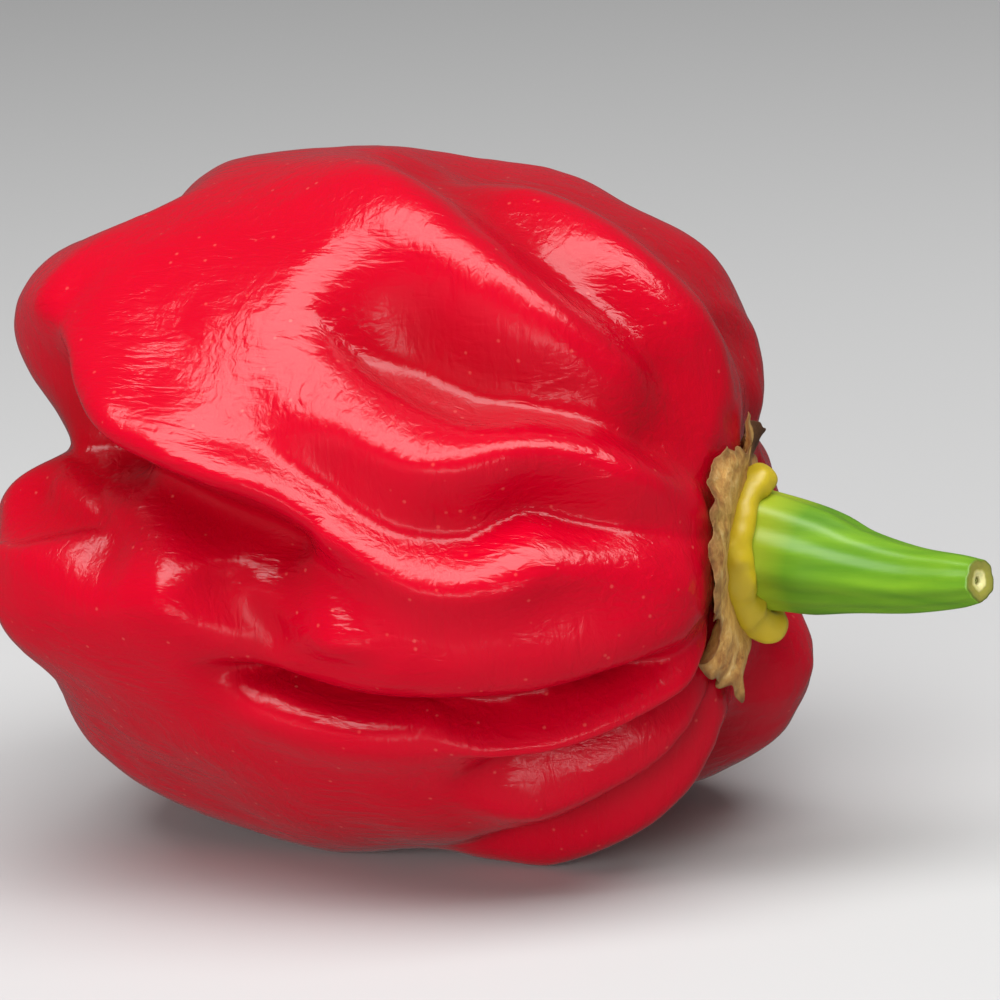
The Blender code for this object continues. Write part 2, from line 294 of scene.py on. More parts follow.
# %% Valleys and swellings above the ledge
UPPER_FOLDS = [
    # the crease behind the roll, and the swelling above it
    ([(0.42, 64), (0.46, 65.5), (0.51, 67.5), (0.55, 71.5), (0.58, 75), (0.61, 77.5), (0.635, 78.5),
      (0.665, 78), (0.69, 75), (0.715, 72.5), (0.75, 73), (0.79, 73), (0.85, 72), (0.92, 71)],
     -1.9, 1.8, 1.1, 0.0, 1.4),
    ([(0.47, 60), (0.52, 63), (0.57, 66), (0.615, 69), (0.655, 68), (0.69, 64), (0.72, 61),
      (0.75, 59.5), (0.79, 60.5), (0.86, 62), (0.92, 63)], 1.5, 2.2, 2.4, 0.0, 2),
    # the widest valley, with a pinched line along its lower wall
    ([(0.48, 40), (0.58, 47), (0.67, 51), (0.74, 51), (0.82, 50), (0.93, 50)],
     -3.4, 4.2, 2.6, 0.0, 2),
    ([(0.50, 43), (0.55, 50), (0.59, 54.5), (0.625, 57), (0.66, 58), (0.70, 57)],
     -1.2, 1.6, 0.7, 0.0, 1.2),
    # the long swelling, the second valley, and the swelling nearest the top
    ([(0.38, 1), (0.47, 12), (0.545, 21), (0.61, 30), (0.65, 35), (0.70, 38), (0.76, 40),
      (0.83, 41), (0.92, 40)], 2.0, 4.2, 4.2, 0.0, 2),
    ([(0.45, -3), (0.545, 7), (0.615, 15), (0.684, 23), (0.746, 27), (0.823, 29), (0.92, 30)],
     -2.7, 3.0, 3.1, 0.0, 2),
    ([(0.50, 0), (0.59, 8), (0.67, 14), (0.74, 17), (0.80, 18), (0.90, 20)], 1.3, 5.5, 3.6, 0.0, 2),
    # a shallow dent across the top, near the apex
    ([(0.18, -40), (0.23, -15), (0.27, 5), (0.31, 22)], -1.7, 3.4, 4.0, 0.0, 2),
]
print(len(UPPER_FOLDS), "folds above the ledge")

# %% [markdown]
# ## Below the ledge
# Under the ledge the skin goes in and comes out again as a shelf, then a broad lobe hangs over the
# longest crease. Below that, narrow ridges and creases gather towards the stem.

# %% The shelf
SHELF_FOLDS = [
    # the thin crease in the notch, the hollow beside it, and the shelf's edge
    ([(0.12, 70), (0.17, 71), (0.25, 75), (0.30, 79), (0.33, 84), (0.36, 87)],
     -0.6, 0.6, 0.6, 0.0, 1),
    ([(0.20, 80), (0.25, 85), (0.30, 88), (0.35, 90), (0.40, 91)], -1.7, 2.0, 1.6, 0.0, 2),
    ([(0.19, 101), (0.24, 98.5), (0.27, 96.5), (0.30, 94), (0.335, 91), (0.38, 88)],
     0.6, 1.0, 2.0, -0.9, 2),
    # the shelf's rounded front, a dip at its end, and the bump after the dip
    ([(0.18, 114), (0.24, 110), (0.30, 105), (0.36, 101), (0.41, 98), (0.45, 94), (0.48, 89)],
     2.2, 3.4, 4.0, -0.6, 2),
    ([(0.46, 88), (0.47, 94), (0.50, 98), (0.53, 104)], -0.9, 1.5, 1.5, 0.0, 2),
    ([(0.53, 82), (0.55, 87), (0.565, 93), (0.58, 100)], 1.6, 2.4, 2.4, 0.0, 2),
]
print(len(SHELF_FOLDS), "folds make the shelf")

# %% [markdown]
# ## The lower near side
# A crease looks deep when its upper edge hangs over it. So each one is a pinched valley next to a ridge
# whose lean pushes the skin across it.

# %% The hanging lobe and the gathered ridges
LOWER_FOLDS = [
    # the hanging lobe, the longest crease under it, and the crease's lower edge
    ([(0.50, 91), (0.60, 94), (0.69, 95), (0.77, 93), (0.84, 89), (0.91, 88)],
     1.9, 3.4, 4.0, 1.4, 2),
    ([(0.43, 105), (0.465, 107.5), (0.50, 110), (0.565, 112.5), (0.63, 112.5), (0.69, 111.5),
      (0.735, 110), (0.785, 107), (0.83, 104.5), (0.91, 101)], -3.9, 1.3, 1.1, 0.0, 1.3),
    ([(0.45, 109), (0.50, 113), (0.56, 115.5), (0.63, 115), (0.70, 114)], 1.5, 0.8, 2.8, -0.6, 2),
    # a ridge and its crease
    ([(0.62, 113), (0.67, 114.5), (0.73, 114.5), (0.78, 113.5), (0.84, 110.5), (0.90, 106)],
     1.6, 1.5, 1.8, 0.8, 2),
    ([(0.62, 129), (0.69, 126.5), (0.74, 124.5), (0.79, 122), (0.85, 119), (0.91, 113)],
     -3.0, 1.2, 2.6, 0.0, 1.6),
    # a second ridge and its crease
    ([(0.62, 137), (0.68, 134), (0.735, 131.5), (0.785, 129.5), (0.84, 127), (0.91, 120)],
     1.5, 1.8, 2.6, 0.6, 2),
    ([(0.56, 157), (0.64, 154), (0.69, 152), (0.745, 149), (0.80, 146), (0.84, 142.5), (0.91, 134)],
     -2.7, 1.6, 1.6, 0.0, 1.4),
    # the last lobe before the underside
    ([(0.56, 162), (0.70, 159), (0.80, 155), (0.90, 146)], 1.7, 4.0, 5.0, 0.0, 2),
]
print(len(LOWER_FOLDS), "folds on the lower near side")

# %% [markdown]
# ## Underneath and the far side
# The lobes carry on all the way round, because the fruit will be seen from every side. They are
# broader here, with round valleys between them, and the shoulder by the stem slopes away.

# %% Folds underneath and on the far side
HIDDEN_FOLDS = [
    # the valley underneath, and the lobes that the fruit rests on
    ([(0.30, 182), (0.46, 183), (0.58, 183), (0.70, 182), (0.82, 178), (0.93, 165)],
     -4.4, 4.2, 4.2, 0.0, 2),
    ([(0.18, 158), (0.30, 161), (0.42, 163), (0.56, 160)], 1.2, 5.0, 4.0, 0.0, 2),
    ([(0.58, 208), (0.74, 210), (0.84, 210), (0.92, 206)], 2.2, 6.0, 6.0, 0.0, 2),
    ([(0.14, 186), (0.36, 198), (0.54, 212)], 1.8, 6.0, 6.0, 0.0, 2),
    ([(0.08, 132), (0.20, 136), (0.34, 140), (0.50, 143)], -0.5, 5.0, 4.0, 0.0, 2),
    # the far side's lower valley, its lobe, its upper valley and the lobe above
    ([(0.06, 228), (0.20, 230), (0.34, 232), (0.54, 236), (0.74, 236), (0.93, 232)],
     -3.8, 2.8, 2.8, 0.0, 2),
    ([(0.12, 256), (0.38, 258), (0.58, 262), (0.80, 262)], 1.6, 5.5, 5.0, 0.0, 2),
    ([(0.06, 290), (0.20, 289), (0.36, 290), (0.56, 293), (0.76, 296), (0.93, 300)],
     -3.4, 2.8, 2.8, 0.0, 2),
    ([(0.14, 316), (0.34, 318), (0.52, 322), (0.66, 326)], 1.2, 5.5, 4.5, 0.0, 2),
    # the far shoulder by the stem, which slopes away
    ([(0.72, 318), (0.80, 318), (0.88, 318), (0.98, 318)], -0.8, 8.0, 6.0, 0.0, 2),
    ([(0.70, 280), (0.80, 280), (0.88, 280), (1.00, 280)], -2.2, 7.0, 7.0, 0.0, 2),
    ([(0.46, 352), (0.56, 351), (0.66, 350), (0.78, 350), (0.93, 346)], -2.0, 5.5, 5.5, 0.0, 2),
    ([(0.78, 339), (0.84, 339), (0.89, 339), (0.97, 339)], -0.9, 4.0, 5.0, 0.0, 2),
]
ALL_FOLDS = LEDGE_FOLDS + UPPER_FOLDS + SHELF_FOLDS + LOWER_FOLDS + HIDDEN_FOLDS
print(len(ALL_FOLDS), "folds in all")

# %% [markdown]
# ## Folding the skin
# For each point of the round pod the nearest place on a fold's route gives two numbers: how far along
# the route it is and how far to the side. A bell curve of the side distance lifts or sinks the point,
# and it fades over the first and last quarter of the route, so that no fold ends in a step.

# %% Folding
ROUTE_SAMPLES = 80
FADE = 0.25


def folded_pod(u, angle, folds):
    """Round pod + sum of bell curves of the distance to each route, along the normal and sideways."""
    start = round_pod(u, angle).reshape(-1, 3)
    normal = outward(u, angle).reshape(-1, 3)
    push = np.zeros(len(start))
    slide = np.zeros_like(start)
    for places, height, before, after, lean, sharpness in folds:
        route = smooth_line(places, ROUTE_SAMPLES)
        spine = round_pod(route[:, 0], route[:, 1])
        forward = np.gradient(spine, axis=0)
        step = np.linalg.norm(forward, axis=1)
        forward = forward / step[:, None]
        side = np.cross(outward(route[:, 0], route[:, 1]), forward)
        near = np.argmin((spine ** 2).sum(1) - 2 * start @ spine.T, axis=1)
        away = start - spine[near]
        run = (away * forward[near]).sum(-1)
        across = (away * side[near]).sum(-1)
        distance = np.sqrt(np.maximum((away ** 2).sum(-1) - run ** 2, 0))
        bell = np.exp(-(distance / np.where(across > 0, before, after)) ** sharpness)
        travelled = (near + run / step[near]) / (ROUTE_SAMPLES - 1)
        edge = np.clip(np.minimum(travelled, 1 - travelled) / FADE, 0, 1)
        bell *= edge * edge * (3 - 2 * edge)
        push += height * bell
        slide -= (lean * bell)[:, None] * side[near]
    moved = start + push[:, None] * normal + slide
    return moved.reshape(*np.broadcast(u, angle).shape, 3), push


print("how far the notch sinks, mm:", round(folded_pod(0.2, 70.0, ALL_FOLDS)[1][0], 1))

# %% [markdown]
# ## The pod's grid
# 240 rows by 384 columns put a vertex about every third of a millimetre, fine enough for the creases,
# and still stay under 200,000 triangles. The rows stop just short of the ends, where the poles close them.

# %% Pod grid
POD_ROWS = 240
POD_COLUMNS = 384
u = np.linspace(0.004, 0.996, POD_ROWS)[:, None]
angle = np.linspace(0, 360, POD_COLUMNS, endpoint=False)[None, :]
u, angle = np.broadcast_arrays(u, angle)
pod_points, push = folded_pod(u, angle, ALL_FOLDS)
print("folds reach from", round(push.min(), 1), "to", round(push.max(), 1), "mm")

# %% [markdown]
# ## Unevenness of the skin
# Between the folds a real pod still rolls and dimples. Three sizes of noise, each weaker than the one
# before, add that, and near the stem the skin puckers into short lengthwise wrinkles: there the noise
# is stretched by squeezing the coordinate that runs along the pod.

# %% Relief
near_stem = np.clip((u - 0.68) / 0.22, 0, 1)
pucker = soft_noise(pod_points * (0.28, 1, 1), 1.5, 23) * near_stem ** 2
relief = (0.24 * soft_noise(pod_points, 5.5, 21) + 0.07 * soft_noise(pod_points, 2.3, 22)
          + 0.025 * soft_noise(pod_points, 1.1, 24) + 0.20 * pucker)
pod_points = pod_points + relief[..., None] * outward(u, angle)
print("relief, mm:", round(relief.min(), 2), "to", round(relief.max(), 2))

# %% [markdown]
# ## The pod takes its place
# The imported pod's box says where this one belongs: the middles of the two boxes agree in plan, and both
# touch the ground. That gives the shift for the calyx and the stem as well.

# %% Seat the pod
low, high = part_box("pod")
span = to_row(pod_points.reshape(-1, 3))
SHIFT[:] = (np.array(low) + high) / 2 - (span.min(0) + span.max(0)) / 2
SHIFT[2] = low[2] - span[:, 2].min()
pod = grid_object("pod_skin", pod_points)
paint(pod, "push", push)
print("pod, mm:", np.round(np.array(pod.dimensions) / MM, 1),
      "packed:", np.round((np.array(high) - low) / MM, 1))

# %% [markdown]
# ## The calyx margin
# The dry, pointed leaf remains lie flat on the shoulder. Their outer edge is a route round the stem of
# (angle, u): a smaller u reaches further out over the pod, so each low value is a point of the leaf.
# A little one-way noise makes the edge ragged.

# %% The leaf's outer edge
LEAF_EDGE = [(-12, 0.910), (0, 0.913), (6, 0.914), (12, 0.882), (18, 0.908), (34, 0.886),
             (60, 0.862), (80, 0.856), (97, 0.862), (104, 0.882), (114, 0.862), (128, 0.866),
             (142, 0.876), (154, 0.872), (163, 0.884), (172, 0.920), (186, 0.925), (205, 0.920),
             (240, 0.905), (265, 0.900), (290, 0.905), (312, 0.912), (330, 0.902), (340, 0.904),
             (348, 0.908), (360, 0.913), (366, 0.914), (372, 0.882)]
LEAF_INNER_U = 0.965
RAGGED = 0.004

edge_line = smooth_line(LEAF_EDGE, 600)
loop = np.linspace(0, 2 * np.pi, 40, endpoint=False)[:, None]
turn = np.linspace(0, 360, 480, endpoint=False)[None, :]
loop, turn = np.broadcast_arrays(loop, turn)
ragged = RAGGED * soft_noise(np.stack([turn / 5, turn * 0, turn * 0], -1), 1.0, 3)
leaf_edge = np.interp(turn, edge_line[:, 0], edge_line[:, 1]) + ragged
print("the leaf reaches out to u =", round(leaf_edge.min(), 3))

# %% [markdown]
# ## A leaf laid on the pod
# The leaf is the pod's own folded surface again, lifted a little, so it follows every fold beneath it.
# Its section is a thin closed loop: out along the top and back underneath. It thins towards the edge,
# crumples there, and a few of its points curl up.

# %% Calyx margin
def bump_at(angle, centre, width):
    """A bell curve of the angle that wraps at 360 degrees."""
    gap = (angle - centre + 180) % 360 - 180
    return np.exp(-(gap / width) ** 2)


across = 0.5 - 0.5 * np.cos(loop)
leaf_u = LEAF_INNER_U + (leaf_edge - LEAF_INNER_U) * across
leaf_points, _ = folded_pod(leaf_u, turn, ALL_FOLDS)
crumple = soft_noise(leaf_points, 0.9, 5) * 0.22 + soft_noise(leaf_points, 0.4, 6) * 0.10
curl = (1.4 * bump_at(turn, 332, 13) + 0.5 * bump_at(turn, 154, 9) + 0.5 * bump_at(turn, 12, 8)
        + 0.5 * bump_at(turn, 70, 30) + 0.5 * bump_at(turn, 122, 14)) * across ** 2
half_thick = 0.34 - 0.16 * across
lift = 0.42 + crumple * across + curl + half_thick * np.sin(loop)
leaf_points = leaf_points + lift[..., None] * outward(leaf_u, turn)
margin = grid_object("calyx_margin", leaf_points, ring=True)
paint(margin, "across", across)
paint(margin, "flap", bump_at(turn, 334, 22) * np.clip(across * 2 - 0.4, 0, 1))
print("the leaf stands proud by up to", round(lift.max(), 2), "mm")

# %% [markdown]
# ## The collar
# A fleshy rope of yellow tissue runs round the foot of the stem. A torus is its start: a tube along a
# ring. Here the ring's radius, the tube's girth and its height over the pod change with the angle, so
# that it swells, pinches and hangs at the bottom as the living tissue does.

# %% The collar's ring
tube = np.linspace(0, 2 * np.pi, 48, endpoint=False)[:, None]
turn = np.linspace(0, 360, 360, endpoint=False)[None, :]
tube, turn = np.broadcast_arrays(tube, turn)
wave = np.radians(turn)
ring = (3.95 + 0.12 * np.sin(2 * wave + 0.6) + 0.10 * np.sin(5 * wave)
        + 0.75 * bump_at(turn, 176, 16) + 0.40 * bump_at(turn, 352, 24))
girth = (1.02 + 0.10 * np.sin(3 * wave + 1) + 0.15 * bump_at(turn, 96, 30)
         - 0.22 * bump_at(turn, 128, 10) + 0.15 * bump_at(turn, 146, 10)
         - 0.20 * bump_at(turn, 28, 12))
rise = 1.0 + 0.9 * bump_at(turn, 178, 16) + 0.5 * bump_at(turn, 350, 25)
print("collar, mm: ring", round(ring.min(), 2), "to", round(ring.max(), 2),
      "girth", round(girth.min(), 2), "to", round(girth.max(), 2))

# %% [markdown]
# ## The collar sits on the pod
# The pod's dimple is read at the ring's radius, and the tube rises from there. Two sizes of noise
# stretch each spoke of the tube for the lumps.

# %% Collar
STEM_END = 300
seat_u = np.interp(-ring, -half[STEM_END:, 1], share[STEM_END:])
seat, _ = folded_pod(seat_u, turn, ALL_FOLDS)


def round_axis(x, radius):
    """A point at height x along the axis, at this radius and this turn about the drooped axis."""
    return np.stack([x, -radius * np.sin(wave), radius * np.cos(wave) - DROOP], -1)


middle = round_axis(seat[..., 0] + rise, ring)
collar_points = round_axis(seat[..., 0] + rise + 1.05 * girth * np.sin(tube),
                           ring + girth * np.cos(tube))
lumps = soft_noise(collar_points, 1.9, 11) * 0.24 + soft_noise(collar_points, 0.8, 12) * 0.10
collar_points = middle + (collar_points - middle) * (1 + lumps)[..., None]
collar = grid_object("calyx_collar", collar_points, ring=True)

# %% [markdown]
# ## The stem's path
# A stalk, wide where it leaves the collar and narrow where it was cut. It dips, turns up again and
# leans to the near side. After the last row of the path a few more rows step inwards over the cut
# face: each step is (share of the radius left, how far out along the stem), and the pith has sunk.

# %% Stem path
STEM_PATH = [(21.6, 0.0, -1.1), (24.3, 0.0, -1.3), (27.0, -0.4, -1.5), (29.7, -1.1, -1.6),
             (33.2, -2.0, -1.5), (36.5, -3.0, -1.0), (38.0, -3.5, -0.7)]
STEM_RADII = [3.7, 3.45, 3.15, 2.5, 2.0, 1.6, 1.3]
CUT_STEPS = np.array([(1.0, 0.0), (0.97, 0.10), (0.88, 0.12), (0.62, 0.06), (0.50, 0.00),
                      (0.36, 0.05), (0.22, -0.18), (0.10, -0.30)])
STEM_ROWS = 120
STEM_COLUMNS = 160

path = smooth_line(STEM_PATH, STEM_ROWS)
radius = smooth_line([(r, 0) for r in STEM_RADII], STEM_ROWS)[:, 0]
forward = np.gradient(path, axis=0)
forward /= np.linalg.norm(forward, axis=1)[:, None]
centre = np.vstack([path, path[-1] + forward[-1] * CUT_STEPS[:, 1:]])
ahead = np.vstack([forward, np.repeat(forward[-1:], len(CUT_STEPS), axis=0)])
reach = np.concatenate([radius, radius[-1] * CUT_STEPS[:, 0]])
print("stem length, mm:", round(np.linalg.norm(np.diff(path, axis=0), axis=1).sum(), 1))

# %% [markdown]
# ## A ribbed section carried along it
# Each row is a circle across the path, with five low ribs and eleven finer ones round it. The two
# directions across the path come from the upright axis, so that the ribs run straight along the stem.

# %% Stem
sideways = np.cross(ahead, (0, 0, 1))
sideways /= np.linalg.norm(sideways, axis=1)[:, None]
upward = np.cross(sideways, ahead)
spin = np.linspace(0, 2 * np.pi, STEM_COLUMNS, endpoint=False)[None, :]
ribs = 1 + 0.045 * np.cos(5 * spin + 0.4) + 0.02 * np.cos(11 * spin + 2)
size = reach[:, None] * ribs
stem_points = (centre[:, None] + (size * np.cos(spin))[..., None] * sideways[:, None]
               + (size * np.sin(spin))[..., None] * upward[:, None])
stem = grid_object("stem_skin", stem_points)

# %% [markdown]
# ## What the stem's finish needs to know
# Three numbers on its vertices: how far along the stem they are, whether they are on the cut face, and
# how far out from the middle of the cut.

# %% Stem attributes
cut_rows = len(CUT_STEPS)
along = np.concatenate([np.linspace(0, 1, STEM_ROWS), np.ones(cut_rows)])
on_cut = np.concatenate([np.zeros(STEM_ROWS + 1), np.ones(cut_rows - 1)])
spread = np.concatenate([np.ones(STEM_ROWS), CUT_STEPS[:, 0]])
for name, values in (("along", along), ("on_cut", on_cut), ("spread", spread)):
    paint(stem, name, np.repeat(values, STEM_COLUMNS))
print("rows on the cut face:", int(on_cut.sum()))

# %% [markdown]
# ## Colours and nodes
# Colours are written as sRGB hex, as a paint chart would give them, and one function turns them to the
# linear values that a shader wants. Another adds a node with its settings and links. A noise texture's
# scale is the number of its cells in a metre, so it is worked out from a cell's size in millimetres.

# %% Material helpers
def linear(hexed):
    """sRGB hex to linear RGBA: a straight line near black, and a power of 2.4 above it."""
    parts = [int(hexed[i:i + 2], 16) / 255 for i in (1, 3, 5)]
    return (*[c / 12.92 if c <= 0.04045 else ((c + 0.055) / 1.055) ** 2.4 for c in parts], 1)


def cells(*sizes):
    """Texture scale for cells of these sizes in millimetres: one over the size in metres."""
    scales = tuple(1 / (size * MM) for size in sizes)
    return scales if len(scales) > 1 else scales[0]


def new_material(name):
    """A fresh node material, its tree and its Principled shader."""
    made = bpy.data.materials.new(name)
    made.use_nodes = True
    return made, made.node_tree, made.node_tree.nodes["Principled BSDF"]


def add(tree, kind, inputs=(), **settings):
    """Add a node: settings are its properties, inputs are (socket, value or another node's output)."""
    made = tree.nodes.new(kind)
    for key, value in settings.items():
        setattr(made, key, value)
    for socket, value in inputs:
        if isinstance(value, bpy.types.NodeSocket):
            tree.links.new(value, made.inputs[socket])
        else:
            made.inputs[socket].default_value = value
    return made


print("a mid red, linear:", np.round(linear("#B2001C")[:3], 3))

# %% [markdown]
# ## The colour of the skin
# Ripe pepper skin is a clear waxy film over red flesh. The red is painted darker down in the folds as
# shade, by how far the skin is pushed in. A few pale specks, a third of a millimetre wide, are the pores
# that dried: one in the middle of some Voronoi cells.

# %% Pod skin, colour
def skin_colour(tree, place):
    """Red, painted darker as shade where a fold pushes the skin in, then a pale dot at the middle of each
    Voronoi cell.
    """
    sunk = add(tree, "ShaderNodeAttribute", attribute_name="push")
    # painted shade: the red turns darker the further a fold pushes the skin in
    fold_shade = add(tree, "ShaderNodeMapRange", [("Value", sunk.outputs["Fac"]), ("From Min", 0.5),
                                             ("From Max", -4.0)])
    red = add(tree, "ShaderNodeMix", [("Factor", fold_shade.outputs[0]), (6, linear("#B2001C")),
                                      (7, linear("#960010"))], data_type="RGBA")
    pores = add(tree, "ShaderNodeTexVoronoi", [("Vector", place), ("Scale", cells(1.333))])
    speck = add(tree, "ShaderNodeMapRange", [("Value", pores.outputs["Distance"]),
                                             ("From Min", 0.11), ("From Max", 0.05),
                                             ("To Max", 0.16)])
    skin = add(tree, "ShaderNodeMix", [("Factor", speck.outputs[0]), (6, red.outputs[2]),
                                       (7, linear("#F08070"))], data_type="RGBA")
    return skin.outputs[2]


# %% [markdown]
# ## The wrinkles in the skin
# The film is not flat: fine wrinkles tear the edges of every highlight into streaks. They run along the
# pod in some places and upright in others, so two stretched noises take turns, and a third, much wider
# noise chooses between them. The same wide noise makes the gloss a little uneven.

# %% Pod skin, wrinkles and gloss
def skin_wrinkles(tree, place, region):
    """Bump from lengthwise wrinkles (2.2 by 0.6 mm) or upright ones (0.6 by 2 mm), by region."""
    lengthwise = add(tree, "ShaderNodeMapping", [("Vector", place),
                                                 ("Scale", cells(2.222, 0.588, 0.588))])
    upright = add(tree, "ShaderNodeMapping", [("Vector", place),
                                              ("Scale", cells(0.588, 0.667, 2.0))])
    first, second = [add(tree, "ShaderNodeTexNoise", [("Vector", way.outputs[0]), ("Scale", 1),
                                                      ("Detail", 3), ("Distortion", 0.6)])
                     for way in (lengthwise, upright)]
    choice = add(tree, "ShaderNodeMapRange", [("Value", region.outputs["Fac"]), ("From Min", 0.4),
                                              ("From Max", 0.6)])
    wrinkle = add(tree, "ShaderNodeMix", [("Factor", choice.outputs[0]),
                                          (2, first.outputs["Fac"]), (3, second.outputs["Fac"])])
    bump = add(tree, "ShaderNodeBump", [("Height", wrinkle.outputs[0]), ("Strength", 1.0),
                                        ("Distance", 0.1 * MM)])
    return bump.outputs[0]


# %% [markdown]
# ## The skin's shader
# Wax has a lower index than glass, so the specular level is under the usual 0.5. Light enters the red
# flesh about a millimetre deep and comes out red, which softens the shadows.

# %% Pod skin
def pod_material():
    """Waxy, smooth and wet-looking: sharp highlights with streaky edges over a saturated red."""
    made, tree, shader = new_material("waxy chilli pepper skin")
    place = add(tree, "ShaderNodeTexCoord").outputs["Object"]
    region = add(tree, "ShaderNodeTexNoise", [("Vector", place), ("Scale", cells(7.69)),
                                              ("Detail", 1)])
    gloss = add(tree, "ShaderNodeMapRange", [("Value", region.outputs["Fac"]), ("From Min", 0.35),
                                             ("From Max", 0.65), ("To Min", 0.15),
                                             ("To Max", 0.25)])
    tree.links.new(skin_colour(tree, place), shader.inputs["Base Color"])
    tree.links.new(skin_wrinkles(tree, place, region), shader.inputs["Normal"])
    tree.links.new(gloss.outputs[0], shader.inputs["Roughness"])
    shader.inputs["Specular IOR Level"].default_value = 0.31
    shader.inputs["Subsurface Weight"].default_value = 0.1
    shader.inputs["Subsurface Radius"].default_value = (1.0, 0.1, 0.1)
    shader.inputs["Subsurface Scale"].default_value = 1.0 * MM
    return made


pod.data.materials.append(pod_material())
print(pod.name, "has", pod.data.materials[0].name)

# %% [markdown]
# ## Dry calyx leaf
# Dead leaf is matt and papery. It is mottled from rust to straw in patches about a millimetre across,
# yellower where it joins the fresh collar, and brown where its edge has dried out. The flap behind the
# stem has dried right through.

# %% Calyx leaf
def leaf_material():
    """Matt and rough: a noise through a rust to straw ramp, browned by two painted attributes."""
    made, tree, shader = new_material("dry calyx leaf")
    place = add(tree, "ShaderNodeTexCoord").outputs["Object"]
    patch = add(tree, "ShaderNodeTexNoise", [("Vector", place), ("Scale", cells(1.111)),
                                             ("Detail", 6), ("Roughness", 0.65)])
    ramp = add(tree, "ShaderNodeValToRGB", [("Fac", patch.outputs["Fac"])])
    stops = ramp.color_ramp.elements
    stops[0].position, stops[0].color = 0.30, linear("#8A5226")
    stops[1].position, stops[1].color = 0.70, linear("#DEBA7C")
    stops.new(0.42).color = linear("#AE783A")
    stops.new(0.55).color = linear("#CB9A52")
    out_share = add(tree, "ShaderNodeAttribute", attribute_name="across").outputs["Fac"]
    edge = add(tree, "ShaderNodeMapRange", [("Value", out_share), ("From Min", 0.86),
                                            ("From Max", 1.0), ("To Max", 0.75)])
    inner = add(tree, "ShaderNodeMapRange", [("Value", out_share), ("From Min", 0.75),
                                             ("From Max", 0.35), ("To Max", 0.7)])
    brown = add(tree, "ShaderNodeMix", [("Factor", edge.outputs[0]), (6, ramp.outputs["Color"]),
                                        (7, linear("#5E3418"))], data_type="RGBA")
    yellow = add(tree, "ShaderNodeMix", [("Factor", inner.outputs[0]), (6, brown.outputs[2]),
                                         (7, linear("#CFA040"))], data_type="RGBA")
    flap = add(tree, "ShaderNodeAttribute", attribute_name="flap").outputs["Fac"]
    whole = add(tree, "ShaderNodeMix", [("Factor", flap), (6, yellow.outputs[2]),
                                        (7, linear("#54301A"))], data_type="RGBA")
    bump = add(tree, "ShaderNodeBump", [("Height", patch.outputs["Fac"]), ("Strength", 1.0),
                                        ("Distance", 0.3 * MM)])
    tree.links.new(whole.outputs[2], shader.inputs["Base Color"])
    tree.links.new(bump.outputs[0], shader.inputs["Normal"])
    shader.inputs["Roughness"].default_value = 0.7
    return made


margin.data.materials.append(leaf_material())
print(margin.name, "has", margin.data.materials[0].name)

# %% [markdown]
# ## Fresh calyx flesh
# The collar is still alive: a waxy yellow, with soft patches about 3 mm across and some light passing
# into it. It is half as glossy as the pod.

# %% Calyx flesh
def collar_material():
    """Soft satin yellow: two close yellows mixed by noise, a gentle bump and a soft inner glow."""
    made, tree, shader = new_material("yellow calyx flesh")
    place = add(tree, "ShaderNodeTexCoord").outputs["Object"]
    patch = add(tree, "ShaderNodeTexNoise", [("Vector", place), ("Scale", cells(2.857)),
                                             ("Detail", 4)])
    hue = add(tree, "ShaderNodeMix", [("Factor", patch.outputs["Fac"]), (6, linear("#D0B41E")),
                                      (7, linear("#B09A1C"))], data_type="RGBA")
    bump = add(tree, "ShaderNodeBump", [("Height", patch.outputs["Fac"]), ("Strength", 0.4),
                                        ("Distance", 0.2 * MM)])
    tree.links.new(hue.outputs[2], shader.inputs["Base Color"])
    tree.links.new(bump.outputs[0], shader.inputs["Normal"])
    shader.inputs["Roughness"].default_value = 0.42
    shader.inputs["Subsurface Weight"].default_value = 0.2
    shader.inputs["Subsurface Radius"].default_value = (1.0, 0.8, 0.2)
    shader.inputs["Subsurface Scale"].default_value = 1.0 * MM
    return made


collar.data.materials.append(collar_material())
print(collar.name, "has", collar.data.materials[0].name)

# %% [markdown]
# ## The rings of the cut
# A cut stalk shows what it is made of, from the outside in: green rind, tan wood, a pale ring and a
# darker pith. A colour ramp over the distance from the middle draws them.

# %% Cut face
def cut_rings(tree):
    """Ring colours by the painted distance from the middle of the cut, 0 at the pith to 1."""
    distance = add(tree, "ShaderNodeAttribute", attribute_name="spread")
    rings = add(tree, "ShaderNodeValToRGB", [("Fac", distance.outputs["Fac"])])
    stops = rings.color_ramp.elements
    stops[0].position, stops[0].color = 0.14, linear("#7C7A34")
    stops[1].position, stops[1].color = 0.97, linear("#5A6A18")
    for position, colour in ((0.24, "#E6E0A0"), (0.42, "#DAD488"), (0.55, "#9A963C"),
                             (0.85, "#8A8838")):
        stops.new(position).color = linear(colour)
    return rings.outputs["Color"]


# %% [markdown]
# ## Green stem rind
# Fresh rind is satin, a mid green with paler streaks 8 mm long and 1 mm wide that follow the ribs, and
# it fades to yellow at its foot, where it was hidden by the collar.

